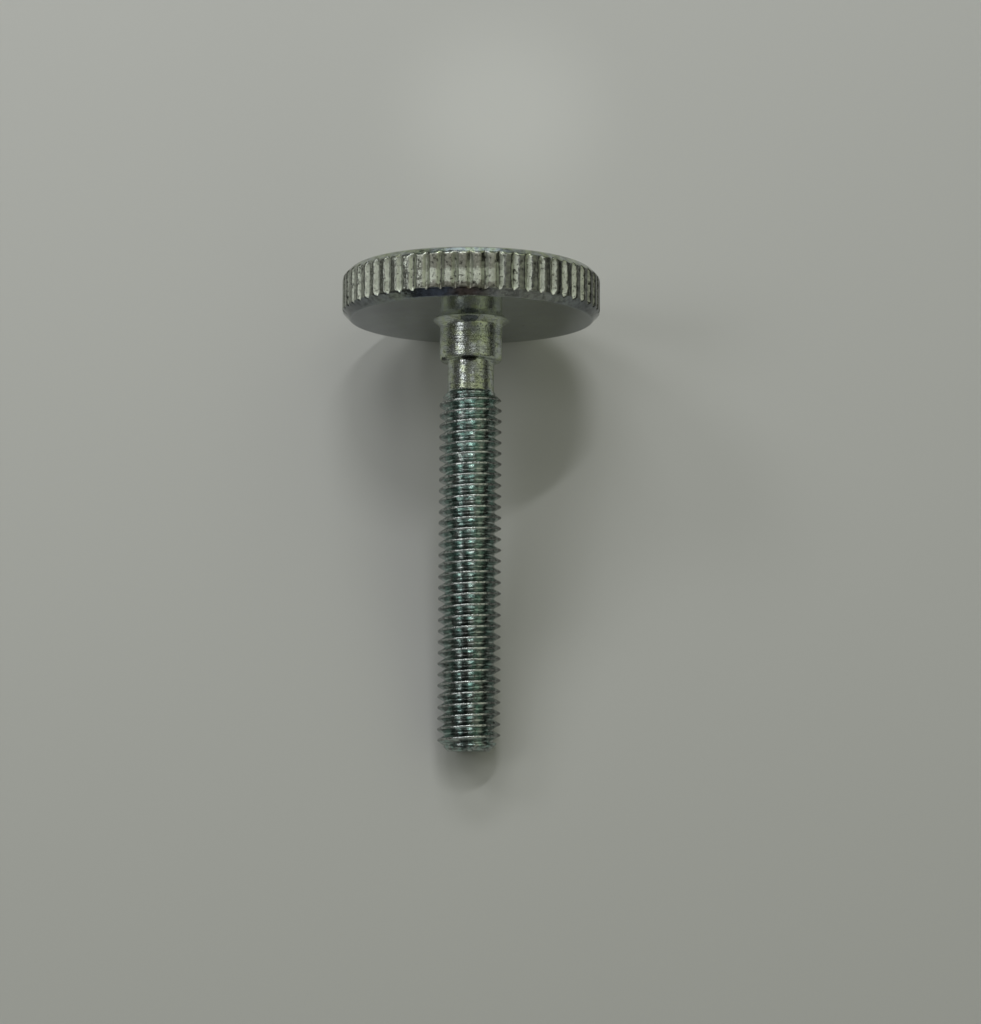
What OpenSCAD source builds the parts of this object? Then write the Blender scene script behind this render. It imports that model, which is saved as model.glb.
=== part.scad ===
// Flat thumb screw with a knurled rim, turned from one bar, M6 x 1, lying at rest.
//
// turned_screw() is drawn standing: the clamping face of the head is at z = 0, the
// shank runs up +Z to the tip and the head is below. at_rest() lays it on the plane
// z = 0, where it touches on two teeth of the rim and on a crest near the tip.

/* [Head] */
// Diameter of the head over its teeth
head_d = 24; // [18:0.5:32]
// Thickness of the head
head_h = 4.5; // [3:0.1:7]
// Chamfer between the rim and the clamping face
seat_chamfer = 0.7; // [0.4:0.1:1]
// Chamfer between the rim and the top face
top_chamfer = 0.7; // [0.4:0.1:1]

/* [Knurl] */
// Distance from one groove to the next, round the rim
knurl_pitch = 1.35; // [1:0.05:1.6]
// Depth of a groove below the teeth
groove_depth = 0.4; // [0.2:0.01:0.5]
// Angle between the two flanks of a groove
groove_angle = 85; // [60:5:90]

/* [Collar and neck] */
// Diameter of the plain collar under the head
collar_d = 5.8; // [5.4:0.1:6.4]
// Length of the collar, from the clamping face
collar_l = 3.9; // [2.5:0.1:6]
// Widening of the collar, at 45 degrees, where it meets the head
root_flare = 0.6; // [0.2:0.1:0.8]
// Rounding of the collar's end
collar_edge = 0.3; // [0.1:0.1:0.5]
// Diameter of the neck between the collar and the thread
neck_d = 4.3; // [3.8:0.1:4.5]
// Length of the neck
neck_l = 2.85; // [1.5:0.05:4]

/* [Thread] */
// Diameter over the crests of the thread
thread_d = 5.8; // [5.6:0.1:6]
// Distance from one crest to the next
thread_pitch = 1; // [0.75:0.05:1]
// Length from the clamping face to the tip
shank_l = 40; // [20:1:60]
// Length of the chamfer on the tip
tip_chamfer = 1; // [0.5:0.1:1.2]
// Angle between the shank's axis and the slope where the thread begins
lead_angle = 40; // [30:5:60]
// Angle round the shank at which the helix starts, from the side that lies down
thread_start = -35; // [-180:5:180]

/* [Hidden] */

$fn = 180;
thread_sides = 28;
skin = 0.5;

head_r = head_d / 2;
collar_r = collar_d / 2;
neck_r = neck_d / 2;
neck_end = collar_l + neck_l;

// Knurl
groove_count = round(PI * head_d / knurl_pitch);
groove_half_w = groove_depth * tan(groove_angle / 2);

// Thread, on the ISO metric profile: flanks at 30 degrees, crest an eighth of the pitch
crest_r = thread_d / 2;
thread_depth = 0.6134 * thread_pitch;
root_r = crest_r - thread_depth;
crest_w = thread_pitch / 8;
flank_w = thread_depth * tan(30);
ridge = [
    [0, root_r],
    [flank_w, crest_r],
    [flank_w + crest_w, crest_r],
    [2 * flank_w + crest_w, root_r]
];
ridge_points = len(ridge);
first_turn = neck_end - 2 * thread_pitch;
thread_turns = ceil((shank_l - first_turn) / thread_pitch) + 1;
thread_steps = thread_turns * thread_sides;

// Rest: the edges of two teeth, either side of a groove, and a crest near the tip touch the
// plane. It is the last full crest on the side that lies down, or the next one, where the
// chamfer cuts its flank
low_r = sqrt(pow(head_r, 2) - pow(groove_half_w, 2));
chamfer_start = shank_l - tip_chamfer;
crest_end = first_turn + flank_w + crest_w - thread_pitch * thread_start / 360;
full_crest = crest_end + thread_pitch * floor((chamfer_start - crest_end) / thread_pitch);
flank_cut = max(0, full_crest + thread_pitch - crest_w - chamfer_start)
    * tan(60) / (1 + tan(60));
rest_tilt = min(
    touching_tilt(full_crest, crest_r),
    touching_tilt(chamfer_start + flank_cut, crest_r - flank_cut)
);
rest_height = low_r * cos(rest_tilt) - seat_chamfer * sin(rest_tilt);
tip_reach = shank_l * cos(rest_tilt) + (crest_r - tip_chamfer) * sin(rest_tilt);
head_reach = head_h * cos(rest_tilt) + (head_r - top_chamfer) * sin(rest_tilt);

// Tilt at which the two teeth and a point of radius r at height z touch one plane
function touching_tilt(z, r) = atan((low_r - r) / (z + seat_chamfer));

// Head, collar and neck as one turned blank; the neck runs on into the thread's core
module turned_blank() {
    rotate_extrude() {
        polygon([
            [0, -head_h],
            [head_r - top_chamfer, -head_h],
            [head_r, top_chamfer - head_h],
            [head_r, -seat_chamfer],
            [head_r - seat_chamfer, 0],
            [0, 0]
        ]);
        collar_section();
        translate([0, -head_h / 2])
            square([neck_r, head_h / 2 + neck_end + skin]);
    }
}

// Half section of the collar, flared at the head and rounded at its end
module collar_section() {
    square([collar_r - collar_edge, collar_l]);
    square([collar_r, collar_l - collar_edge]);
    translate([collar_r - collar_edge, collar_l - collar_edge])
        circle(collar_edge);
    polygon([
        [0, 0],
        [collar_r + root_flare, 0],
        [collar_r, root_flare],
        [0, root_flare]
    ]);
}

// One V groove of the knurl, through the whole rim on the +X side
module groove() {
    translate([0, 0, -head_h - skin])
        linear_extrude(head_h + 2 * skin)
            polygon([
                [head_r - groove_depth, 0],
                [head_r + skin, groove_half_w * (1 + skin / groove_depth)],
                [head_r + skin, -groove_half_w * (1 + skin / groove_depth)]
            ]);
}

module knurled_blank() {
    difference() {
        turned_blank();
        for (i = [0 : groove_count - 1])
            rotate(360 * i / groove_count)
                groove();
    }
}

// Point p of the ridge after k steps of the right-hand helix
function helix_point(k, p) = let (a = thread_start + 360 * k / thread_sides) [
    ridge[p][1] * cos(a),
    ridge[p][1] * sin(a),
    first_turn + thread_pitch * k / thread_sides + ridge[p][0]
];

function point_no(k, p) = k * ridge_points + p;

// Solid rod with the helical ridge on it, longer than needed at both ends
module threaded_rod() {
    last = ridge_points - 1;
    low_centre = point_no(thread_steps + 1, 0);
    points = concat(
        [for (k = [0 : thread_steps], p = [0 : last]) helix_point(k, p)],
        [
            [0, 0, first_turn],
            [0, 0, first_turn + (thread_turns + 1) * thread_pitch]
        ]
    );
    ridge_faces = [
        for (k = [0 : thread_steps - 1], p = [0 : last - 1], half = [0, 1])
            half == 0
                ? [point_no(k, p), point_no(k, p + 1), point_no(k + 1, p + 1)]
                : [point_no(k, p), point_no(k + 1, p + 1), point_no(k + 1, p)]
    ];
    root_faces = [
        for (k = [0 : thread_steps - thread_sides - 1], half = [0, 1])
            let (n = k + thread_sides)
            half == 0
                ? [point_no(k, last), point_no(n, 0), point_no(n + 1, 0)]
                : [point_no(k, last), point_no(n + 1, 0), point_no(k + 1, last)]
    ];
    // The two ends are fans from the axis: round one turn, then along the ridge's section
    low_edge = concat(
        [for (k = [thread_sides : -1 : 0]) point_no(k, 0)],
        [for (p = [1 : last]) point_no(0, p)]
    );
    high_edge = concat(
        [for (k = [thread_steps - thread_sides : thread_steps]) point_no(k, last)],
        [for (p = [last - 1 : -1 : 0]) point_no(thread_steps, p)]
    );
    polyhedron(points, concat(
        ridge_faces,
        root_faces,
        fan(low_edge, low_centre),
        fan(high_edge, low_centre + 1)
    ));
}

// Triangles from a centre to each side of a closed edge
function fan(edge, centre) = [
    for (i = [0 : len(edge) - 1])
        [edge[(i + 1) % len(edge)], edge[i], centre]
];

// What the thread is trimmed to: a slope out of the neck, and the chamfered tip
module thread_envelope() {
    outer_r = crest_r + skin;
    slope_start = neck_end - skin / tan(lead_angle);
    slope_l = (outer_r - neck_r + skin) / tan(lead_angle);
    rotate_extrude()
        polygon([
            [0, slope_start],
            [neck_r - skin, slope_start],
            [outer_r, slope_start + slope_l],
            [outer_r, chamfer_start - skin],
            [crest_r - tip_chamfer, shank_l],
            [0, shank_l]
        ]);
}

module turned_screw() {
    knurled_blank();
    intersection() {
        threaded_rod();
        thread_envelope();
    }
}

module at_rest() {
    translate([(head_reach - tip_reach) / 2, 0, rest_height])
        rotate([0, 90 + rest_tilt, 0])
            children();
}

module thumb_screw() {
    color("silver")
        at_rest()
            turned_screw();
}

thumb_screw();
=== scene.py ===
"""Flat thumb screw of zinc-plated steel with a knurled rim, lying on a plain pale floor."""

import math

import bpy
from mathutils import Euler, Matrix, Vector


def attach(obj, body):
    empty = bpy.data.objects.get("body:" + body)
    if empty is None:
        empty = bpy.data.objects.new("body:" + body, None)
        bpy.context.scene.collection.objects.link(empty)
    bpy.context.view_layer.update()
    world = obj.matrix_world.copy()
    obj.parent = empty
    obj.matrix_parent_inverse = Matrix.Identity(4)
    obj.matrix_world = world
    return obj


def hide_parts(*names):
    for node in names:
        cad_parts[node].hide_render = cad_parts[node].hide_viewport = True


bl_info = {
    "name": "Knurled thumb screw",
    "version": (1, 0, 0),
    "blender": (4, 5, 0),
    "location": "3D View > Sidebar > Thumb screw",
    "description": "Adds a knurled thumb screw in its finishes, and the stage it lies on",
    "category": "Add Mesh",
}

MM = 0.001

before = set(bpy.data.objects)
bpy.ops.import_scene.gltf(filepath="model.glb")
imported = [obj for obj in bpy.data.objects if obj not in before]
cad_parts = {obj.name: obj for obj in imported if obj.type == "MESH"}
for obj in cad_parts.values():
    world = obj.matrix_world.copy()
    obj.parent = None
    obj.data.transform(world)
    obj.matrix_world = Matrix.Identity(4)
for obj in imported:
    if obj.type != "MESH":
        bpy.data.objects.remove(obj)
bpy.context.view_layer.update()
screw_node = "thumb_screw"


# --- Sizes and finishes that a user changes ---


def length(name, description, millimetres):
    """A length property with its default given in millimetres."""
    return bpy.props.FloatProperty(
        name=name,
        description=description,
        default=millimetres * MM,
        min=0.0,
        subtype="DISTANCE",
        unit="LENGTH",
        precision=5,
    )


def turn(name, description, degrees):
    """An angle property with its default given in degrees."""
    return bpy.props.FloatProperty(
        name=name,
        description=description,
        default=math.radians(degrees),
        subtype="ANGLE",
        unit="ROTATION",
    )


def tone(name, description, red, green, blue):
    """A colour property."""
    return bpy.props.FloatVectorProperty(
        name=name,
        description=description,
        default=(red, green, blue),
        size=3,
        min=0.0,
        max=1.0,
        subtype="COLOR",
    )


def share(name, description, default):
    """A property between 0 and 1."""
    return bpy.props.FloatProperty(
        name=name,
        description=description,
        default=default,
        min=0.0,
        max=1.0,
        subtype="FACTOR",
    )


def power(name, description, watts):
    """The power of a light."""
    return bpy.props.FloatProperty(
        name=name,
        description=description,
        default=watts,
        min=0.0,
        subtype="POWER",
        unit="POWER",
    )


class ScrewSizes(bpy.types.PropertyGroup):
    """Sizes of the screw, the same as its solid's."""

    head_d: length("Head diameter", "Diameter of the head over its teeth", 24)
    head_h: length("Head thickness", "Thickness of the head", 4.5)
    seat_chamfer: length("Seat chamfer", "Chamfer next to the clamping face", 0.7)
    top_chamfer: length("Top chamfer", "Chamfer next to the top face", 0.7)
    teeth: bpy.props.IntProperty(
        name="Teeth", description="Number of teeth round the rim", default=56, min=3
    )
    groove_depth: length("Groove depth", "Depth of a groove of the knurl", 0.4)
    groove_angle: turn("Groove angle", "Angle between the flanks of a groove", 85)
    collar_d: length("Collar diameter", "Diameter of the collar", 5.8)
    collar_l: length("Collar length", "Length of the collar", 3.9)
    root_flare: length("Root flare", "Widening of the collar at the head", 0.6)
    collar_edge: length("Collar edge", "Rounding of the collar's end", 0.3)
    neck_d: length("Neck diameter", "Diameter of the neck", 4.3)
    neck_l: length("Neck length", "Length of the neck", 2.85)
    thread_d: length("Thread diameter", "Diameter over the crests", 5.8)
    thread_pitch: length("Pitch", "Distance from one crest to the next", 1)
    shank_l: length("Shank length", "From the clamping face to the tip", 40)
    tip_chamfer: length("Tip chamfer", "Length of the chamfer on the tip", 1)
    lead_angle: turn("Lead angle", "Slope where the thread begins", 40)
    thread_start: turn("Thread start", "Angle at which the helix starts", -35)
    crest_round: length("Crest rounding", "Radius of the thread's crest", 0.1)
    root_round: length("Root rounding", "Radius of the thread's root", 0.08)
    edge_round: length("Edge rounding", "How far the head's edges are broken", 0.08)
    rim_round: length("Rim rounding", "How far the rim's upper edges are worn", 0.2)


class ScrewFinish(bpy.types.PropertyGroup):
    """Colours and wear of the plating."""

    zinc: tone("Zinc", "Colour of the plating", 0.55, 0.59, 0.57)
    passivation: tone("Passivation", "Greenish tint of the plating", 0.54, 0.60, 0.42)
    bloom: tone("Bloom", "Pale dull film on the rim", 0.64, 0.68, 0.58)
    # Bare metal also colours the painted highlight on the collar's end
    bare: tone("Bare metal", "Colour where the plating is rubbed", 0.9, 0.92, 0.9)
    blue_film: tone("Blue film", "Bluish tint in the thread", 0.39, 0.54, 0.5)
    # Seat tint: the clamping face's darker tint, deepened towards its ends as painted shade
    seat_tint: tone("Seat tint", "Darker tint of the clamping face", 0.21, 0.23, 0.25)
    blue_tarnish: tone("Blue tarnish", "Bluish tarnish on the seat chamfer", 0.12, 0.15, 0.22)
    brown_tarnish: tone("Brown tarnish", "Brown tarnish on the seat chamfer", 0.12, 0.085, 0.07)
    chalk: tone("Chalk", "Pale dull patch on the seat chamfer", 0.42, 0.44, 0.42)
    flare_stain: tone("Flare stain", "Bluish stain on the collar's flare", 0.08, 0.1, 0.13)
    edge_stain: tone("Edge stain", "Brown stain along the rim's lower edge", 0.1, 0.085, 0.07)
    # Grime: the dark colour of oily pits, also used for painted shade on the collar, the rim and
    # the thread
    grime_and_shade: tone("Grime", "Oil and dirt left in pits", 0.03, 0.03, 0.026)
    # Stain: a painted reflection, the brownish upper half of the rim's middle lands
    stain: tone("Stain", "Brownish stain on the rim's upper half", 0.24, 0.24, 0.20)
    # Film: the lands' darker colour, partly painted shade, as it spares the middle that faces up
    film: tone("Film", "Dark film on the lands between the grooves", 0.13, 0.135, 0.13)
    turned_gloss: share("Turned roughness", "Roughness of turned faces", 0.22)
    face_gloss: share("Face roughness", "Roughness of the clamping face", 0.05)
    rim_gloss: share("Rim roughness", "Roughness of the knurled rim", 0.5)
    land_gloss: share("Land roughness", "Roughness of the lands between the grooves", 0.27)
    thread_gloss: share("Thread roughness", "Roughness of the thread", 0.22)


class StageLook(bpy.types.PropertyGroup):
    """Floor, lights and camera."""

    floor: tone("Floor", "Colour of the floor", 0.575, 0.585, 0.555)
    # Far floor: the floor's colour towards the head, painted lighter as painted light from the
    # lamps on that side
    floor_painted_lighter: tone("Far floor", "Colour of the floor behind the head", 0.69, 0.70, 0.68)
    backdrop: tone("Backdrop", "Colour behind the floor", 0.36, 0.365, 0.335)
    key_power: power("Key light", "Narrow far light behind the head", 1.21)
    high_power: power("High lights", "Two wide lights nearly overhead", 0.085)
    back_power: power("Back light", "Long low light behind the head", 0.24)
    side_power: power("Side light", "Low light on the left behind the head", 0.2)
    window_power: power("Window light", "Light on the left", 0.13)
    lens: bpy.props.FloatProperty(
        name="Lens",
        description="Focal length of the camera in millimetres",
        default=85.53,
        subtype="DISTANCE_CAMERA",
    )


# --- Nodes written as Python expressions ---


class Wire:
    """An output socket, on which Python's operators add further nodes."""

    def __init__(self, bench, socket):
        self.bench = bench
        self.socket = socket

    def maths(self, operation, *others):
        """Result of one Math node on this value and others."""
        values = dict(enumerate((self, *others)))
        return self.bench.add("ShaderNodeMath", {"operation": operation}, values)

    def swapped(self, operation, first):
        """Result of a node whose first value is a plain number."""
        return self.bench.add("ShaderNodeMath", {"operation": operation}, {0: first, 1: self})

    def __add__(self, other):
        return self.maths("ADD", other)

    def __sub__(self, other):
        return self.maths("SUBTRACT", other)

    def __mul__(self, other):
        return self.maths("MULTIPLY", other)

    def __truediv__(self, other):
        return self.maths("DIVIDE", other)

    def __radd__(self, other):
        return self.swapped("ADD", other)

    def __rsub__(self, other):
        return self.swapped("SUBTRACT", other)

    def __rmul__(self, other):
        return self.swapped("MULTIPLY", other)

    def __rtruediv__(self, other):
        return self.swapped("DIVIDE", other)

    def floor(self):
        return self.maths("FLOOR")

    def size(self):
        return self.maths("ABSOLUTE")

    def sine(self):
        return self.maths("SINE")

    def cosine(self):
        return self.maths("COSINE")

    def least(self, other):
        return self.maths("MINIMUM", other)

    def most(self, other):
        return self.maths("MAXIMUM", other)

    def soft_least(self, other, width):
        return self.maths("SMOOTH_MIN", other, width)

    def soft_most(self, other, width):
        return self.maths("SMOOTH_MAX", other, width)

    def below(self, other):
        return self.maths("LESS_THAN", other)

    def above(self, other):
        return self.maths("GREATER_THAN", other)

    def ramp(self, low, high, to_low=0.0, to_high=1.0, smooth=False):
        """Value moved from one range to another and held at its ends."""
        blend = "SMOOTHSTEP" if smooth else "LINEAR"
        values = {0: self, 1: low, 2: high, 3: to_low, 4: to_high}
        return self.bench.add("ShaderNodeMapRange", {"interpolation_type": blend}, values)

    def band(self, rise, fall):
        """1 between two soft limits, each given as a low and a high value, and 0 outside them."""
        return self.ramp(*rise) * self.ramp(*fall, 1.0, 0.0)

    def mix(self, first, second):
        """Colour between two others, with this value as the share of the second."""
        values = {0: self, 6: first, 7: second}
        return self.bench.add("ShaderNodeMix", {"data_type": "RGBA"}, values, 2)

    def parts(self):
        """The three numbers of a vector."""
        node = self.bench.add("ShaderNodeSeparateXYZ", {}, {0: self}).socket.node
        return [Wire(self.bench, output) for output in node.outputs[:3]]


class Bench:
    """Adds nodes to one tree and keeps them in tidy columns."""

    def __init__(self, tree):
        self.tree = tree
        self.tree.nodes.clear()

    def add(self, kind, settings=None, values=None, output=0):
        """Adds a node: its type, then its settings, then its sockets' values or links."""
        node = self.tree.nodes.new(kind)
        place = len(self.tree.nodes)
        node.location = (180 * (place // 8), -190 * (place % 8))
        for name, setting in (settings or {}).items():
            if name == "stops":
                self.set_stops(node.color_ramp, setting)
            else:
                setattr(node, name, setting)
        for key, value in (values or {}).items():
            socket = node.inputs[key]
            if isinstance(value, Wire):
                self.tree.links.new(value.socket, socket)
            elif socket.type == "RGBA":
                socket.default_value = (*value, 1.0)
            else:
                socket.default_value = value
        return Wire(self, node.outputs[output]) if len(node.outputs) > output else node

    def set_stops(self, ramp, stops):
        """Sets a colour ramp's stops, each a position and a colour."""
        while len(ramp.elements) < len(stops):
            ramp.elements.new(1.0)
        for element, (position, colour) in zip(ramp.elements, stops):
            element.position = position
            element.color = (*colour, 1.0)

    def vector(self, x, y, z):
        return self.add("ShaderNodeCombineXYZ", {}, {0: x, 1: y, 2: z})

    def noise(self, place, scale, detail, roughness=0.5):
        values = {"Vector": place, "Scale": scale, "Detail": detail, "Roughness": roughness}
        return self.add("ShaderNodeTexNoise", {}, values)

    def angle(self, sine_part, cosine_part):
        """Angle of a direction, from its parts along the sine and the cosine."""
        values = {0: sine_part, 1: cosine_part}
        return self.add("ShaderNodeMath", {"operation": "ARCTAN2"}, values)


# --- The lie of the screw, which its solid has too ---

# Depth of the ISO metric profile, as a share of the pitch
ISO_DEPTH = 0.6134


class Lie:
    """How the screw lies: on two teeth of its rim and on a crest near its tip."""

    def __init__(self, sizes):
        self.head_r = sizes.head_d / 2
        groove_half_w = sizes.groove_depth * math.tan(sizes.groove_angle / 2)
        self.low_r = math.sqrt(self.head_r**2 - groove_half_w**2)
        self.crest_r = sizes.thread_d / 2
        self.neck_end = sizes.collar_l + sizes.neck_l
        self.thread_depth = ISO_DEPTH * sizes.thread_pitch
        self.crest_w = sizes.thread_pitch / 8
        self.flank_w = self.thread_depth * math.tan(math.radians(30))
        self.first_turn = self.neck_end - 2 * sizes.thread_pitch
        chamfer_start = sizes.shank_l - sizes.tip_chamfer
        start = sizes.thread_pitch * sizes.thread_start / math.tau
        crest_end = self.first_turn + self.flank_w + self.crest_w - start
        turns = math.floor((chamfer_start - crest_end) / sizes.thread_pitch)
        full_crest = crest_end + turns * sizes.thread_pitch
        steep = math.tan(math.radians(60))
        next_crest = full_crest + sizes.thread_pitch - self.crest_w
        flank_cut = max(0, next_crest - chamfer_start) * steep / (1 + steep)
        full = self.touching_tilt(sizes, full_crest, self.crest_r)
        cut = self.touching_tilt(sizes, chamfer_start + flank_cut, self.crest_r - flank_cut)
        tilt = min(full, cut)
        self.chamfer_start = chamfer_start
        dip, level = math.sin(tilt), math.cos(tilt)
        tip_reach = sizes.shank_l * level + (self.crest_r - sizes.tip_chamfer) * dip
        head_reach = sizes.head_h * level + (self.head_r - sizes.top_chamfer) * dip
        height = self.low_r * level - sizes.seat_chamfer * dip
        self.place = Vector(((head_reach - tip_reach) / 2, 0, height))
        self.turn = Euler((0, math.radians(90) + tilt, 0))
        self.matrix = Matrix.Translation(self.place) @ self.turn.to_matrix().to_4x4()

    def touching_tilt(self, sizes, height, radius):
        """Tilt at which two teeth of the rim and a point of the shank touch one plane."""
        return math.atan((self.low_r - radius) / (height + sizes.seat_chamfer))

    def point(self, up, right, along):
        """A point given from the clamping face's centre, in the floor's frame."""
        return self.matrix @ Vector((-up, right, along))


# --- Half section of head, collar and neck ---


def broken_edge(corner, before, after, broken):
    """Three points round a corner of 45 degrees, between the directions before and after it."""
    corner, before, after = Vector(corner), Vector(before), Vector(after)
    inwards = 0.26
    middle = corner + (after - before) * broken * inwards
    return [corner - before * broken, middle, corner + after * broken]


def arc(centre, radius, start, end, steps):
    """Points of an arc, with its angles in degrees."""
    angles = [math.radians(start + (end - start) * i / steps) for i in range(steps + 1)]
    return [
        Vector((centre[0] + radius * math.cos(angle), centre[1] + radius * math.sin(angle)))
        for angle in angles
    ]


def between(first, last, steps):
    """Points between two others, without them."""
    return [first.lerp(last, i / steps) for i in range(1, steps)]


def half_section(sizes, lie):
    """Points of the half section from the top face's centre to the middle of the neck."""
    head_r, head_h = lie.head_r, sizes.head_h
    broken, worn = sizes.edge_round, sizes.rim_round
    slope = math.sqrt(0.5)
    top_edge = broken_edge((head_r - sizes.top_chamfer, -head_h), (1, 0), (slope, slope), worn)
    rim_top = broken_edge((head_r, sizes.top_chamfer - head_h), (slope, slope), (0, 1), worn)
    rim_low = broken_edge((head_r, -sizes.seat_chamfer), (0, 1), (-slope, slope), 2 * broken)
    seat_edge = broken_edge((head_r - sizes.seat_chamfer, 0), (-slope, slope), (-1, 0), broken)
    collar_r, neck_r = sizes.collar_d / 2, sizes.neck_d / 2
    flare, edge = sizes.root_flare, sizes.collar_edge
    flare_foot = broken_edge((collar_r + flare, 0), (-1, 0), (-slope, slope), broken)
    flare_top = broken_edge((collar_r, flare), (-slope, slope), (0, 1), broken)
    corner = 0.1 * MM
    points = [Vector((0, -head_h)), top_edge[0] - Vector((broken, 0))]
    points += [*top_edge, *between(top_edge[2], rim_top[0], 6)]
    points += [*rim_top, *between(rim_top[2], rim_low[0], 18)]
    points += [*rim_low, *between(rim_low[2], seat_edge[0], 8)]
    points += [*seat_edge, seat_edge[2] - Vector((broken, 0)), flare_foot[0] + Vector((broken, 0))]
    points += [*flare_foot, *between(flare_foot[2], flare_top[0], 3), *flare_top]
    points += between(flare_top[2], Vector((collar_r, sizes.collar_l - edge)), 4)
    points += arc((collar_r - edge, sizes.collar_l - edge), edge, 0, 90, 6)
    points += arc((neck_r + corner, sizes.collar_l + corner), corner, 270, 180, 3)
    points += [Vector((neck_r, lie.neck_end - sizes.neck_l / 2))]
    return points


def ridge_section(sizes, lie):
    """Points across one turn of the thread, each a radius and a distance from the crest."""
    slope = math.radians(60)
    crest_r, root_r = lie.crest_r, lie.crest_r - lie.thread_depth
    crest, root = sizes.crest_round, sizes.root_round
    flat = lie.crest_w / 2 - crest * math.tan(slope / 2)
    corner = lie.crest_w / 2 + lie.flank_w + root * math.tan(slope / 2)
    half = [(crest_r, 0)]
    for share_of_slope in (1 / 3, 2 / 3, 1):
        angle = slope * share_of_slope
        half.append((crest_r - crest * (1 - math.cos(angle)), flat + crest * math.sin(angle)))
    low = [(root_r, sizes.thread_pitch / 2)]
    for share_of_slope in (1 / 2, 1):
        angle = slope * share_of_slope
        low.append((root_r + root * (1 - math.cos(angle)), corner - root * math.sin(angle)))
    middle = ((half[-1][0] + low[-1][0]) / 2, (half[-1][1] + low[-1][1]) / 2)
    half += [middle, *reversed(low)]
    return [Vector((r, -z)) for r, z in reversed(half[1:])] + [Vector(point) for point in half]


# --- Geometry nodes that turn, knurl and thread the screw ---

# Columns of the blank for each tooth, and how many of them are drawn together on the shank
TOOTH_COLUMNS = 14
SHANK_STEP = 8
# Distance within which two points are one
ROOM = 0.002 * MM
# Least and greatest depth of a groove, as shares of the depth that is asked for
GROOVE_SPREAD = (0.88, 1.1)
# How far a groove's middle strays, as an angle, and how often along it
GROOVE_SWAY = 0.012
SWAY_SCALE = 1400.0
# Share of a groove's depth that is left on a chamfer, and half the length over which it fades
RUN_OUT = 0.45
RUN_OUT_REACH = 0.25 * MM
# How close together the rim's dents and the worn places of the thread's crest lie
DENT_SCALE = 1500.0
WEAR_SCALE = 700.0
# Stand of a point, from 0 to 1, below which it belongs to a groove
LAND = 0.82


def screw_inputs(tree):
    """Adds the tree's named inputs and returns them by name."""
    sizes = [
        "Head radius",
        "Groove depth",
        "Groove rounding",
        "Rim low",
        "Rim top",
        "Shoulder radius",
        "Neck radius",
        "Neck end",
        "Crest radius",
        "Thread depth",
        "Crest wear",
        "Thread rounding",
        "Tip rounding",
        "Pitch",
        "Joint height",
        "Rolled start",
        "Chamfer start",
        "Shank length",
        "Dents",
    ]
    sockets = {"Section": "NodeSocketGeometry"}
    sockets.update({name: "NodeSocketFloat" for name in sizes})
    sockets.update({"Groove flank": "NodeSocketFloat", "Lead slope": "NodeSocketFloat"})
    counts = ("Section points", "Ridge points", "Teeth", "Turns", "Seed")
    sockets.update({name: "NodeSocketInt" for name in counts})
    sockets.update({name: "NodeSocketVector" for name in ("Place", "Turn")})
    sockets.update({name: "NodeSocketMaterial" for name in ("Turned", "Knurled", "Rolled")})
    made = {}
    for name, kind in sockets.items():
        made[name] = tree.interface.new_socket(name, in_out="INPUT", socket_type=kind)
    for name in sizes:
        made[name].subtype = "DISTANCE"
    tree.interface.new_socket("Screw", in_out="OUTPUT", socket_type="NodeSocketGeometry")
    return made


def blank_grid(bench, rows, columns):
    """A grid of points with the row and column of each."""
    mesh = bench.add("GeometryNodeMeshGrid", {}, {"Vertices X": rows, "Vertices Y": columns})
    index = bench.add("GeometryNodeInputIndex")
    row = ((index + 0.5) / columns).floor()
    return mesh, row, index - row * columns


def section_point(bench, given, number):
    """One of the section's points, as the numbers x, y and z."""
    place = bench.add("GeometryNodeInputPosition")
    point = bench.add(
        "GeometryNodeSampleIndex",
        {"data_type": "FLOAT_VECTOR"},
        {"Geometry": given["Section"], "Value": place, "Index": number},
    )
    return point.parts()


def round_axis(bench, radius, angle, height):
    """A position at a radius and angle about the screw's own axis."""
    return bench.vector(radius * angle.cosine(), radius * angle.sine(), height)


def knurled_radius(bench, given, radius, angle, height):
    """Radius of the turned blank after its rim is knurled, and how high the point stands."""
    pitch_angle = math.tau / given["Teeth"]
    tooth = (angle / pitch_angle + 0.5).floor()
    number = tooth - given["Teeth"] * (tooth / given["Teeth"]).floor()
    sway_place = bench.vector(number * 3.7, height * SWAY_SCALE, 0.0)
    sway = bench.noise(sway_place, 1.0, 3.0, 0.6) - 0.5
    least, greatest = GROOVE_SPREAD
    chance = {2: least, 3: greatest, "ID": number, "Seed": given["Seed"]}
    drawn = bench.add("FunctionNodeRandomValue", {"data_type": "FLOAT"}, chance, 1)
    fade = (-RUN_OUT_REACH, RUN_OUT_REACH, RUN_OUT, 1.0)
    low_end = (given["Rim low"] - height).ramp(*fade, smooth=True)
    top_end = (height - given["Rim top"]).ramp(*fade, smooth=True)
    depth = given["Groove depth"] * drawn * low_end * top_end
    off_centre = (angle - tooth * pitch_angle + sway * GROOVE_SWAY).size()
    floor_r = given["Head radius"] - depth
    groove_r = floor_r / (off_centre.cosine() - off_centre.sine() * given["Groove flank"])
    dent = bench.noise(round_axis(bench, radius, angle, height), DENT_SCALE, 3.0)
    dent = dent.ramp(0.56, 0.72, smooth=True) * given["Dents"]
    on_rim = radius.ramp(given["Head radius"] - 0.65 * MM, given["Head radius"] - 0.2 * MM)
    worn = radius - dent * on_rim
    knurled = worn.soft_least(groove_r, given["Groove rounding"])
    stand = (worn - knurled) / given["Groove depth"]
    return knurled, 1.0 - stand


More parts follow.
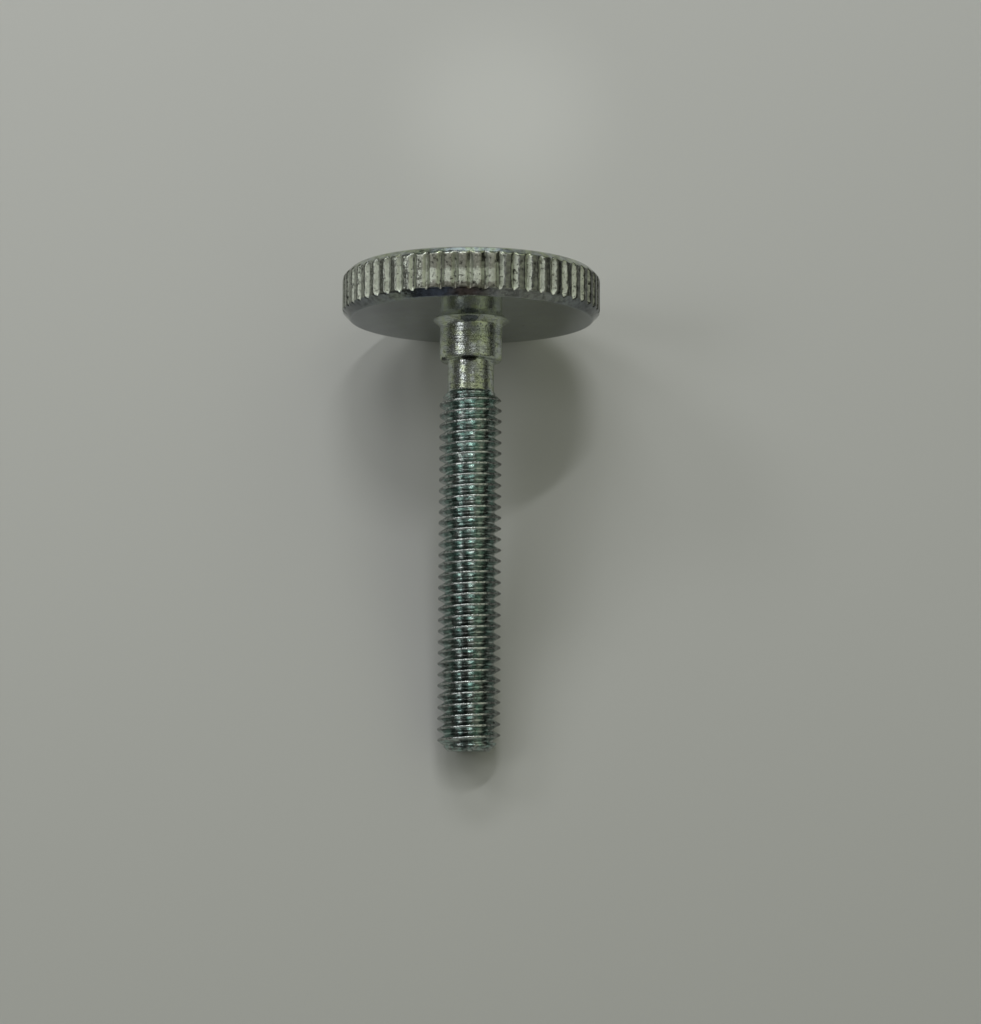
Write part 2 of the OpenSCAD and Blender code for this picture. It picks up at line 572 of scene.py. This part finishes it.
def turned_head(bench, given):
    """Head, collar and neck: the section turned about the axis, with the rim knurled."""
    columns = given["Teeth"] * TOOTH_COLUMNS + 1
    mesh, row, column = blank_grid(bench, given["Section points"], columns)
    radius, _, height = section_point(bench, given, row)
    on_shank = radius.below(given["Shoulder radius"] + ROOM)
    shank_column = (column / SHANK_STEP + 0.5).floor() * SHANK_STEP
    column = column + (shank_column - column) * on_shank
    angle = column * (math.tau / (given["Teeth"] * TOOTH_COLUMNS))
    knurled, stand = knurled_radius(bench, given, radius, angle, height)
    place = round_axis(bench, knurled, angle, height)
    mesh = bench.add("GeometryNodeSetPosition", {}, {"Geometry": mesh, "Position": place})
    mesh = bench.add("GeometryNodeFlipFaces", {}, {"Mesh": mesh})
    return store_stand(bench, mesh, stand)


def store_stand(bench, mesh, stand):
    """Stores how high each point stands: 0 on a groove's floor, 1 on a land or crest."""
    return bench.add(
        "GeometryNodeStoreNamedAttribute",
        {"data_type": "FLOAT", "domain": "POINT"},
        {"Geometry": mesh, "Name": "stand", "Value": stand},
    )


def rolled_thread(bench, given):
    """Neck's lower half, thread and tip: a strip wound along the helix and closed at the tip."""
    shank_columns = given["Teeth"] * (TOOTH_COLUMNS / SHANK_STEP)
    rows = given["Turns"] * shank_columns + 1
    mesh, wound, across = blank_grid(bench, rows, given["Ridge points"])
    ridge_r, _, off_crest = section_point(bench, given, given["Section points"] + across)
    turns = wound / shank_columns
    whole = ((wound + 0.5) / shank_columns).floor()
    column = wound - whole * shank_columns
    angle = column * (math.tau / shank_columns)
    pitch = given["Pitch"]
    run = given["Rolled start"] + pitch * (turns + 0.5) + off_crest
    height = run.most(given["Joint height"]).least(given["Shank length"])
    root_r = given["Crest radius"] - given["Thread depth"]
    wear = bench.noise(round_axis(bench, given["Crest radius"], angle, height), WEAR_SCALE, 3.0)
    crest_r = given["Crest radius"] - wear.ramp(0.5, 0.8) * given["Crest wear"]
    ridge_r = ridge_r.least(crest_r)
    lead_r = given["Neck radius"] + (height - given["Neck end"]) * given["Lead slope"]
    lead_r = lead_r.soft_most(given["Neck radius"], given["Thread rounding"])
    tip_r = given["Crest radius"] - (height - given["Chamfer start"])
    radius = ridge_r.soft_least(lead_r, given["Thread rounding"])
    radius = radius.soft_least(tip_r, given["Tip rounding"])
    past_tip = run - given["Shank length"] - 0.08 * pitch
    radius = radius * past_tip.ramp(0.0, pitch / 2.0, 1.0, 0.0)
    stand = (radius - root_r) / given["Thread depth"]
    place = round_axis(bench, radius, angle, height)
    mesh = bench.add("GeometryNodeSetPosition", {}, {"Geometry": mesh, "Position": place})
    return store_stand(bench, mesh, stand.most(0.0))


def build_screw_tree():
    """The node tree that makes the whole screw from its half section."""
    tree = bpy.data.node_groups.new("Thumb screw", "GeometryNodeTree")
    inputs = screw_inputs(tree)
    bench = Bench(tree)
    group = tree.nodes.new("NodeGroupInput")
    given = {name: Wire(bench, group.outputs[name]) for name in inputs}
    head = turned_head(bench, given)
    thread = rolled_thread(bench, given)
    joined = bench.add("GeometryNodeJoinGeometry", {}, {"Geometry": head})
    tree.links.new(thread.socket, joined.socket.node.inputs["Geometry"])
    mesh = bench.add("GeometryNodeMergeByDistance", {}, {"Geometry": joined, "Distance": ROOM})
    mesh = bench.add("GeometryNodeSetMaterial", {}, {"Geometry": mesh, "Material": given["Turned"]})
    x, y, height = bench.add("GeometryNodeInputPosition").parts()
    radius = (x * x + y * y).maths("SQRT")
    on_thread = height.above(given["Neck end"])
    rolled = {"Geometry": mesh, "Selection": on_thread, "Material": given["Rolled"]}
    mesh = bench.add("GeometryNodeSetMaterial", {}, rolled)
    on_rim = radius.above(given["Head radius"] - given["Groove depth"] * 1.3)
    over = 0.04 * MM
    on_rim = on_rim * height.below(given["Rim low"] + over)
    on_rim = on_rim * height.above(given["Rim top"] - over)
    named = {"Name": "stand"}
    stand = bench.add("GeometryNodeInputNamedAttribute", {"data_type": "FLOAT"}, named)
    in_groove = stand.below(LAND) * radius.above(given["Head radius"] / 2.0)
    on_rim = on_rim.most(in_groove)
    knurled = {"Geometry": mesh, "Selection": on_rim, "Material": given["Knurled"]}
    mesh = bench.add("GeometryNodeSetMaterial", {}, knurled)
    mesh = bench.add("GeometryNodeSetShadeSmooth", {}, {"Geometry": mesh})
    moved = {"Geometry": mesh, "Translation": given["Place"], "Rotation": given["Turn"]}
    mesh = bench.add("GeometryNodeTransform", {}, moved)
    mesh = bench.add("GeometryNodeRealizeInstances", {}, {"Geometry": mesh})
    bench.add("NodeGroupOutput", {}, {"Screw": mesh})
    return tree, inputs


def rolled_start(sizes, lie):
    """Height at which the wound strip starts, so that each crest runs along its middle row."""
    crest = lie.first_turn + lie.flank_w + lie.crest_w / 2
    crest -= sizes.thread_pitch * sizes.thread_start / math.tau
    joint = lie.neck_end - sizes.neck_l / 2
    turns = math.ceil((crest + sizes.thread_pitch / 2 - joint) / sizes.thread_pitch)
    return crest - sizes.thread_pitch / 2 - turns * sizes.thread_pitch


def screw_values(sizes, lie, points, ridge_points):
    """Values of the tree's inputs."""
    start = rolled_start(sizes, lie)
    return {
        "Head radius": lie.head_r,
        "Groove depth": sizes.groove_depth,
        "Groove rounding": 0.14 * MM,
        "Groove flank": 1 / math.tan(sizes.groove_angle / 2),
        "Rim low": -sizes.seat_chamfer,
        "Rim top": sizes.top_chamfer - sizes.head_h,
        "Shoulder radius": sizes.collar_d / 2 + sizes.root_flare,
        "Neck radius": sizes.neck_d / 2,
        "Neck end": lie.neck_end,
        "Crest radius": lie.crest_r,
        "Thread depth": lie.thread_depth,
        "Crest wear": 0.045 * MM,
        "Thread rounding": 0.06 * MM,
        "Tip rounding": 0.015 * MM,
        "Pitch": sizes.thread_pitch,
        "Joint height": lie.neck_end - sizes.neck_l / 2,
        "Rolled start": start,
        "Chamfer start": lie.chamfer_start,
        "Shank length": sizes.shank_l,
        "Lead slope": math.tan(sizes.lead_angle),
        "Dents": 0.05 * MM,
        "Section points": points,
        "Ridge points": ridge_points,
        "Teeth": sizes.teeth,
        "Turns": math.ceil((sizes.shank_l - start) / sizes.thread_pitch) + 1,
        "Seed": 4,
        "Place": lie.place,
        "Turn": Vector(lie.turn),
    }


# --- Finishes ---

# Places and reaches of the painted shade on the collar's end and at its lower left corner, and of
# the nick in the clamping face
SHADE_SPOTS_AND_NICK = (
    ((-2.5, -0.1, 3.95), (0.6, 0.95, 0.26)),
    ((-1.2, -2.6, 4.0), (0.6, 0.5, 0.35)),
    ((2.2, 4.9, 0.0), (0.2, 0.1, 0.2)),
)
# Place and reach of the stain on the flare, and of the painted highlight: a pale glint beside the
# painted shade on the collar's end
FLARE_STAIN = ((-3.1, -0.15, 0.35), (0.5, 0.85, 0.4))
GLINT_PATCH = ((-2.2, -0.95, 4.15), (0.4, 0.36, 0.2))
# Radii between which the flare passes into the clamping face, and a face into its chamfer
FACE_R = (3.4, 3.8)
CHAMFER_R = (11.25, 11.4)
# The seat's side of the head lies above the first height, the top face's below the second
SEAT_SIDE = -1.0
TOP_SIDE = -1.5


def new_finish(name):
    """A material with an empty tree, and its bench."""
    material = bpy.data.materials.new(name)
    material.use_nodes = True
    return material, Bench(material.node_tree)


def screw_places(bench, lie):
    """The shading point in millimetres in the screw's own frame: x, y, height and radius."""
    here = bench.add("ShaderNodeTexCoord", {}, {}, 3)
    values = {"Location": lie.place, "Rotation": Vector(lie.turn), "Scale": (MM, MM, MM)}
    own = bench.add("ShaderNodeMapping", {"vector_type": "TEXTURE"}, {"Vector": here, **values})
    x, y, height = own.parts()
    radius = (x * x + y * y).maths("SQRT")
    return own, x, y, height, radius


def standing(bench):
    """How high the point stands between groove floor and land, from the mesh."""
    return bench.add("ShaderNodeAttribute", {"attribute_name": "stand"}, {}, 2)


def shade(bench, colour, roughness, normal, metallic=1.0):
    """The shader and the output."""
    values = {"Base Color": colour, "Roughness": roughness, "Metallic": metallic, "Normal": normal}
    shader = bench.add("ShaderNodeBsdfPrincipled", {}, values)
    bench.add("ShaderNodeOutputMaterial", {}, {"Surface": shader})


def bump(bench, height, depth, strength=1.0, normal=None):
    """A bump of a height between 0 and 1, whose depth is in metres."""
    values = {"Strength": strength, "Distance": depth, "Height": height}
    if normal is not None:
        values["Normal"] = normal
    return bench.add("ShaderNodeBump", {}, values)


def spot(places, place, reach, ragged):
    """1 within a ragged oval spot, whose middle and reach are along x, y and height."""
    parts = [(given - middle) / far for given, middle, far in zip(places, place, reach)]
    squares = [part * part for part in parts]
    away = (squares[0] + squares[1] + squares[2]).maths("SQRT")
    return (away + ragged * 0.9).ramp(0.85, 1.0, 1.0, 0.0)


def turned_finish(lie, finish):
    """Faces, collar and neck, with the marks of the turning tool under the plating."""
    material, bench = new_finish("turned_zinc")
    own, x, y, height, radius = screw_places(bench, lie)
    places = (x, y, height)

    # Noises that dirt and relief share
    ragged = bench.noise(own, 3.0, 3.0, 0.6) - 0.5
    run = (radius - height) * 5.0
    rings = bench.vector(x / radius * 0.6, y / radius * 0.6, run)
    marks = bench.noise(rings, 4.0, 3.0, 0.6)
    short_rings = bench.vector(x / radius * 0.7, y / radius * 0.7, run)
    blotches = bench.noise(own, 1.3, 4.0, 0.6)
    dimples = bench.noise(own, 3.2, 3.0, 0.65)

    # Areas
    side = y / radius + ragged * 0.16
    on_face = radius.ramp(*FACE_R).most(height.below(TOP_SIDE))
    on_shank = 1.0 - on_face
    on_seat = on_face * height.above(SEAT_SIDE)
    on_chamfer = radius.ramp(*CHAMFER_R)
    ragged_chamfer = (radius + ragged * 0.3).ramp(*CHAMFER_R)
    upper_chamfer = ragged_chamfer * x.below(0.0) * height.above(SEAT_SIDE)
    tarnished = side.band((-0.56, -0.38), (0.02, 0.2)) * upper_chamfer
    chalky = side.band((0.1, 0.22), (0.55, 0.75)) * upper_chamfer
    # The clamping face's ends, where its tint is deepened as painted shade
    shaded_face_ends = side.size().ramp(0.5, 0.88) * radius.ramp(6.0, 10.5)

    # Dirt, and painted shade on the collar's end
    scores = bench.noise(short_rings, 1.6, 2.0, 0.7).ramp(0.57, 0.64) * on_shank
    cloudy = bench.noise(own, 0.5, 3.0, 0.6).ramp(0.4, 0.62, 0.03, 0.14) * on_face
    specks = bench.noise(own, 7.0, 2.0, 0.6).ramp(0.58, 0.68) * (1.0 - on_face * 0.7)
    mottled = bench.noise(own, 2.4, 3.0, 0.6).ramp(0.46, 0.62, 0.0, 0.4) * on_chamfer
    mottled = mottled + side.size().ramp(0.8, 0.94) * on_chamfer * 0.3
    dirt_and_shade = specks * 0.7 + scores * 0.45 + cloudy + mottled + height.ramp(4.0, 4.2) * 0.1
    # Painted shade on the collar's end and at its corner, and the nick in the clamping face
    for place, reach in SHADE_SPOTS_AND_NICK:
        dirt_and_shade = dirt_and_shade.most(spot(places, place, reach, ragged) * 0.95)

    # Colour
    colour = blotches.ramp(0.42, 0.6).mix(finish.zinc, finish.passivation)
    # The clamping face takes a darker tint all over, and more of it towards its ends as painted
    # shade
    colour = (on_seat * (shaded_face_ends * 0.36 + 0.6)).mix(colour, finish.seat_tint)
    tarnish = side.ramp(-0.2, -0.08).mix(finish.blue_tarnish, finish.brown_tarnish)
    colour = (tarnished * 0.85).mix(colour, tarnish)
    colour = (chalky * 0.7).mix(colour, finish.chalk)
    colour = (spot(places, *FLARE_STAIN, ragged) * 0.75).mix(colour, finish.flare_stain)
    colour = dirt_and_shade.least(1.0).mix(colour, finish.grime_and_shade)
    # Painted highlight: a pale glint on the collar's end in the bare metal's colour
    colour = spot(places, *GLINT_PATCH, ragged).mix(colour, finish.bare)

    # Gloss and relief
    gloss = finish.turned_gloss + (finish.face_gloss - finish.turned_gloss) * on_seat
    uneven = (marks - 0.5) * 0.12 + (blotches - 0.5) * 0.16 + specks * 0.2
    roughness = gloss + uneven * (1.0 - on_face * 0.6) + chalky * 0.2
    normal = bump(bench, marks, 0.005 * MM, 1.0 - on_seat * 0.75)
    normal = bump(bench, dimples, 0.028 * MM, on_shank, normal)
    normal = bump(bench, 1.0 - specks, 0.012 * MM, 1.0, normal)
    normal = bump(bench, 1.0 - scores, 0.01 * MM, 1.0, normal)
    shade(bench, colour, roughness, normal, 1.0 - chalky * 0.5)
    return material


def knurled_finish(lie, finish, teeth):
    """The knurled rim: pale dull grooves, darker lands between them, and darker groove floors. The
    lands' darkness is partly painted shade: it spares the middle that faces up and deepens towards
    the right.
    """
    material, bench = new_finish("knurled_zinc")
    own, x, y, height, radius = screw_places(bench, lie)
    grain = bench.noise(own, 6.0, 4.0, 0.65)
    ragged = bench.noise(own, 2.6, 3.0, 0.6) - 0.5
    pits = bench.noise(own, 3.2, 3.0, 0.6).ramp(0.58, 0.66)

    # Areas: lands, the rim's middle above the axis, and one flank of each groove right of it
    stand = standing(bench).ramp(0.0, 1.0) + ragged * 0.35
    land = stand.ramp(0.8, 0.92, smooth=True)
    side = y / radius
    rough_side = side + ragged * 0.1
    upper = x.below(0.0)
    facing = side.band((-0.42, -0.3), (0.14, 0.26)) * upper
    right = side.band((-0.04, 0.0), (0.3, 0.36)) * upper
    across = (bench.angle(y, 0.0 - x) * (teeth / math.tau) + 0.5).maths("FRACT") - 0.5
    flank = across.band((-0.3, -0.24), (-0.06, 0.0))
    # Painted reflection: a brownish band over the upper half of the middle lands
    painted_reflection_band = (height + ragged * 1.2).ramp(-2.5, -2.3, 1.0, 0.0) * facing
    low_edge = (height + ragged * 1.4).ramp(-1.3, -1.05) * facing

    # Dirt in pits and mottling, darker groove floors away from the seat and darker rim ends, with
    # painted shade on one flank of each groove right of the middle
    foot = (height + ragged).ramp(-1.2, -0.8, 1.0, 0.0)
    mottled = grain.ramp(0.5, 0.7, 0.0, 0.3)
    # Painted shade: one flank of each groove right of the middle, in the rim's upper part
    shaded_flank = flank * (height + ragged * 0.8).ramp(-3.1, -2.9, 1.0, 0.0) * right
    ends = rough_side.ramp(0.84, 0.92, 0.0, 0.65) + rough_side.ramp(-0.88, -0.94, 0.0, 0.35)
    dirt_and_shade = stand.ramp(0.0, 0.22, 0.8, 0.0, smooth=True) * foot + pits * 0.7 + mottled
    dirt_and_shade = dirt_and_shade + shaded_flank * (ragged + 0.8)
    dirt_and_shade = dirt_and_shade + ends * grain.ramp(0.35, 0.6, 0.5, 1.0)

    # Colour
    # Painted shade: the lands darken outside the middle that faces up, more towards the right side
    dark = land * (1.0 - facing) * (side.ramp(-0.5, 0.3, 0.45, 0.85) + ragged * 1.2)
    colour = dark.mix(finish.bloom, finish.film)
    colour = (painted_reflection_band * (land * 0.45 + 0.45)).mix(colour, finish.stain)
    colour = (low_edge * 0.75).mix(colour, finish.edge_stain)
    colour = dirt_and_shade.least(1.0).mix(colour, finish.grime_and_shade)

    # Gloss and relief
    dull = finish.rim_gloss + (grain - 0.5) * 0.2
    smooth_land = land * (1.0 - facing * 0.7)
    roughness = dull + (finish.land_gloss - dull) * smooth_land
    normal = bump(bench, grain, 0.01 * MM)
    normal = bump(bench, ragged, 0.05 * MM, 1.0, normal)
    normal = bump(bench, 1.0 - pits, 0.03 * MM, 1.0, normal)
    shade(bench, colour, roughness, normal)
    return material


def rolled_finish(lie, finish):
    """The rolled thread: glossy, blotched, with a bluish film in its roots and bare crests."""
    material, bench = new_finish("rolled_zinc")
    own, x, y, height, radius = screw_places(bench, lie)
    rings = bench.vector(x * 0.35, y * 0.35, height * 3.0)
    streaks = bench.noise(rings, 3.0, 3.0, 0.6)
    blotches = bench.noise(own, 1.6, 4.0, 0.6)
    dimples = bench.noise(own, 3.6, 3.0, 0.65)

    # Areas: crests, flanks and the outline's two sides
    stand = standing(bench).ramp(0.0, 1.0)
    crest = stand.ramp(0.84, 0.96, smooth=True)
    flank = 1.0 - crest
    side = y / radius
    # Painted shade: a dark column left of the middle, deepening towards the tip
    shaded_column = side.band((-0.33, -0.27), (-0.08, 0.0))
    outline = side.ramp(0.9, 0.96) * 0.8 + side.ramp(-0.6, -0.95) * 0.5

    # Dirt, which grows towards the tip, darker outlines, and painted shade in a column left of the
    # middle and along the right side
    chips = bench.noise(own, 4.5, 3.0, 0.7).ramp(0.5, 0.62) * crest * 0.65
    tip_soil_and_shade = height.ramp(12.0, 36.0, 0.0, 0.14)
    tip_soil_and_shade = tip_soil_and_shade + shaded_column * height.ramp(12.0, 26.0, 0.05, 0.4)
    # Darker towards both outlines, and along the right side as painted shade
    outline_and_right_shade = outline * stand.ramp(0.6, 0.8) + side.ramp(0.5, 0.7) * (crest * 0.5 + 0.1)
    soiled_and_shaded = streaks.ramp(0.5, 0.7) * 0.7 + dimples.ramp(0.5, 0.66) * 0.6 + tip_soil_and_shade
    soiled_and_shaded = soiled_and_shaded * flank + chips + outline_and_right_shade

    # Colour
    film = blotches.ramp(0.42, 0.58) * (1.0 - crest * 0.8)
    colour = film.mix(finish.zinc, finish.blue_film)
    colour = (crest * 0.4).mix(colour, finish.bare)
    colour = soiled_and_shaded.least(0.85).mix(colour, finish.grime_and_shade)

    # Gloss and relief
    roughness = finish.thread_gloss + (streaks - 0.5) * 0.2 + (blotches - 0.5) * 0.1
    roughness = roughness + crest * 0.04
    normal = bump(bench, streaks, 0.012 * MM)
    normal = bump(bench, dimples, 0.04 * MM, crest.ramp(0.0, 1.0, 0.3, 1.0), normal)
    shade(bench, colour, roughness, normal)
    return material


# --- The piece ---


def make_plain(item):
    """Turns an object's evaluated shape into its own plain mesh, with no modifier left."""
    graph = bpy.context.evaluated_depsgraph_get()
    mesh = bpy.data.meshes.new_from_object(item.evaluated_get(graph), depsgraph=graph)
    item.modifiers.clear()
    item.data = mesh


class SCREW_OT_add_thumb_screw(bpy.types.Operator):
    """Add the thumb screw in its three finishes, lying on the floor."""

    bl_idname = "screw.add_thumb_screw"
    bl_label = "Add thumb screw"

    def execute(self, context):
        sizes, finish = context.scene.screw_sizes, context.scene.screw_finish
        lie = Lie(sizes)
        points, ridge = half_section(sizes, lie), ridge_section(sizes, lie)
        mesh = bpy.data.meshes.new("half_section")
        mesh.from_pydata([(p.x, 0, p.y) for p in points + ridge], [], [])
        screw = bpy.data.objects.new("knurled_thumb_screw", mesh)
        context.scene.collection.objects.link(screw)
        tree, inputs = build_screw_tree()
        modifier = screw.modifiers.new("Thumb screw", "NODES")
        modifier.node_group = tree
        for name, value in screw_values(sizes, lie, len(points), len(ridge)).items():
            modifier[inputs[name].identifier] = value
        modifier[inputs["Turned"].identifier] = turned_finish(lie, finish)
        modifier[inputs["Knurled"].identifier] = knurled_finish(lie, finish, sizes.teeth)
        modifier[inputs["Rolled"].identifier] = rolled_finish(lie, finish)
        make_plain(screw)
        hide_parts(screw_node)
        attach(screw, "root")
        return {"FINISHED"}


# --- The stage ---


def add_floor(scene, look):
    """A pale floor that fades into the backdrop, painted lighter towards the head, with a painted
    pool of light beyond the head's top.
    """
    reach = 0.6
    mesh = bpy.data.meshes.new("floor")
    corners = [(-reach, -reach, 0), (reach, -reach, 0), (reach, reach, 0), (-reach, reach, 0)]
    mesh.from_pydata(corners, [], [(0, 1, 2, 3)])
    floor = bpy.data.objects.new("floor", mesh)
    scene.collection.objects.link(floor)
    material, bench = new_finish("pale_floor")
    here = bench.add("ShaderNodeTexCoord", {}, {}, 3)
    x, y, _ = here.parts()
    cloud = bench.noise(here, 12.0, 3.0).ramp(0.3, 0.7, 0.08, 0.0)
    # Painted light: the floor is painted lighter towards the head, where the lamps stand
    shades = (x.ramp(0.055, -0.06) - cloud).mix(look.floor, look.floor_painted_lighter)
    # Painted light: a pool of lighter floor beyond the head's top face
    pool_x, pool_y = -0.045, 0.003
    off_x, off_y = x - pool_x, y - pool_y
    off_pool = (off_x * off_x + off_y * off_y).maths("SQRT")
    pool = off_pool.ramp(0.002, 0.015, 0.85, 0.0, smooth=True)
    shades = pool.mix(shades, [1.12 * level for level in look.floor_painted_lighter])
    surface = bench.add("ShaderNodeBsdfPrincipled", {}, {"Base Color": shades, "Roughness": 0.6})
    clear = bench.add("ShaderNodeBsdfTransparent")
    front = (x - y * 0.35).ramp(0.066, 0.085, smooth=True)
    sides = y.size().ramp(0.11, 0.14, smooth=True)
    far_end = x.ramp(-0.2, -0.23)
    fade = front.most(sides).most(far_end)
    both = bench.add("ShaderNodeMixShader", {}, {0: fade, 1: surface, 2: clear})
    bench.add("ShaderNodeOutputMaterial", {}, {"Surface": both})
    mesh.materials.append(material)


def add_light(scene, name, place, size, watts, roll=0):
    """A soft rectangular light at a place, facing the screw, rolled by some degrees."""
    data = bpy.data.lights.new(name, "AREA")
    data.shape = "RECTANGLE"
    data.size, data.size_y = size
    data.energy = watts
    light = bpy.data.objects.new(name, data)
    light.location = place
    light.rotation_euler = Vector(place).to_track_quat("Z", "Y").to_euler()
    light.rotation_euler.rotate_axis("Z", math.radians(roll))
    light.visible_camera = False
    scene.collection.objects.link(light)


def room_stops():
    """Brightness and colour of the room from the left horizon over the top to the right one.

    Each angle is in degrees from straight up.
    """
    window, ceiling, dark = (0.95, 1.0, 1.0), (0.97, 1.0, 0.80), (1.0, 1.0, 0.9)
    lit = [
        (-90, 0.06, dark),
        (-66, 0.09, dark),
        (-53, 0.08, window),
        (-43, 0.21, window),
        (-33, 0.19, window),
        (-24, 0.11, dark),
        (-6, 0.14, dark),
        (8, 0.17, dark),
        (26, 0.2, ceiling),
        (36, 0.54, ceiling),
        (50, 0.5, ceiling),
        (62, 0.38, ceiling),
        (70, 0.05, dark),
        (90, 0.02, dark),
    ]
    return [
        ((angle + 90) / 180, [level * part for part in colour])
        for angle, level, colour in lit
    ]


def add_room(scene, look):
    """The room that the metal mirrors: a window on the left, a ceiling lit on the right."""
    world = bpy.data.worlds.new("room")
    world.use_nodes = True
    bench = Bench(world.node_tree)
    along, side, up = bench.add("ShaderNodeTexCoord", {}, {}, 0).parts()
    across = bench.angle(side, up) / math.pi + 0.5
    walls = bench.add("ShaderNodeValToRGB", {"stops": room_stops()}, {0: across})
    table, front_wall, back_wall = (0.2, 0.2, 0.2), (0.02, 0.02, 0.02), (0.05, 0.065, 0.075)
    front = up.ramp(0.06, 0.2).mix(table, front_wall)
    end_walls = along.below(0.0).mix(front, back_wall)
    walls = along.size().ramp(0.85, 0.95).mix(walls, end_walls)
    lamp = (0.9, 1.0, 1.1)
    walls = along.ramp(-0.983, -0.995, 0.0, 3.5).mix(walls, lamp)
    room = bench.add("ShaderNodeBackground", {}, {"Color": walls, "Strength": 1.0})
    plain = bench.add("ShaderNodeBackground", {}, {"Color": look.backdrop, "Strength": 1.0})
    seen = bench.add("ShaderNodeLightPath", {}, {}, 0)
    both = bench.add("ShaderNodeMixShader", {}, {0: seen, 1: room, 2: plain})
    bench.add("ShaderNodeOutputWorld", {}, {"Surface": both})
    scene.world = world


def add_camera(scene, sizes, look):
    """The camera, placed in the screw's own frame and aimed down on the lying screw."""
    lie = Lie(sizes)
    along = (lie.point(0, 0, 1) - lie.point(0, 0, 0)).normalized()
    off_screw = (lie.point(1, 0, 0) - lie.point(0, 0, 0)).normalized()
    level = Vector((0, 1, 0))
    lean, roll = math.radians(6.78), math.radians(0.3)
    back = math.sin(lean) * along + math.cos(lean) * off_screw
    rise = back.cross(level)
    right = math.cos(roll) * level + math.sin(roll) * rise
    up = math.cos(roll) * rise - math.sin(roll) * level
    data = bpy.data.cameras.new("camera")
    data.lens = look.lens
    data.clip_start, data.clip_end = 0.01, 10
    camera = bpy.data.objects.new("camera", data)
    turned = Matrix((right, up, back)).transposed().to_4x4()
    eye = lie.point(223.3 * MM, 1.9 * MM, 44.5 * MM)
    camera.matrix_world = Matrix.Translation(eye) @ turned
    scene.collection.objects.link(camera)
    scene.camera = camera


class SCREW_OT_add_stage(bpy.types.Operator):
    """Add the floor, the lights, the room and the camera."""

    bl_idname = "screw.add_stage"
    bl_label = "Add stage"

    def execute(self, context):
        scene = context.scene
        look = scene.screw_stage
        add_floor(scene, look)
        add_room(scene, look)
        right_share, left_share = 0.45 * look.high_power, 0.55 * look.high_power
        lights = (
            ("key_light", (-0.585, 0.068, 1.0), (0.28, 0.035), look.key_power, 40),
            ("high_light", (-0.055, 0.045, 0.32), (0.1, 0.1), right_share),
            ("higher_light", (-0.14, -0.096, 0.32), (0.1, 0.1), left_share),
            ("back_light", (-0.37, -0.064, 0.32), (0.2, 0.06), look.back_power),
            ("side_light", (-0.256, -0.32, 0.32), (0.14, 0.1), look.side_power),
            ("window_light", (0.032, -0.27, 0.32), (0.13, 0.13), look.window_power),
        )
        for light in lights:
            add_light(scene, *light)
        add_camera(scene, scene.screw_sizes, look)
        scene.view_settings.view_transform = "Standard"
        return {"FINISHED"}


class SCREW_PT_panel(bpy.types.Panel):
    """The screw's sizes, finishes and stage."""

    bl_idname = "SCREW_PT_panel"
    bl_label = "Thumb screw"
    bl_space_type = "VIEW_3D"
    bl_region_type = "UI"
    bl_category = "Thumb screw"

    def draw(self, context):
        scene = context.scene
        groups = (
            (scene.screw_sizes, "screw.add_thumb_screw"),
            (scene.screw_finish, None),
            (scene.screw_stage, "screw.add_stage"),
        )
        for group, operator in groups:
            box = self.layout.box()
            for name in group.__annotations__:
                box.prop(group, name)
            if operator:
                box.operator(operator)


classes = (
    ScrewSizes,
    ScrewFinish,
    StageLook,
    SCREW_OT_add_thumb_screw,
    SCREW_OT_add_stage,
    SCREW_PT_panel,
)


def register():
    for item in classes:
        bpy.utils.register_class(item)
    bpy.types.Scene.screw_sizes = bpy.props.PointerProperty(type=ScrewSizes)
    bpy.types.Scene.screw_finish = bpy.props.PointerProperty(type=ScrewFinish)
    bpy.types.Scene.screw_stage = bpy.props.PointerProperty(type=StageLook)


def unregister():
    del bpy.types.Scene.screw_stage
    del bpy.types.Scene.screw_finish
    del bpy.types.Scene.screw_sizes
    for item in reversed(classes):
        bpy.utils.unregister_class(item)


def main():
    register()
    bpy.ops.screw.add_thumb_screw()
    bpy.ops.screw.add_stage()


if __name__ == "__main__":
    main()
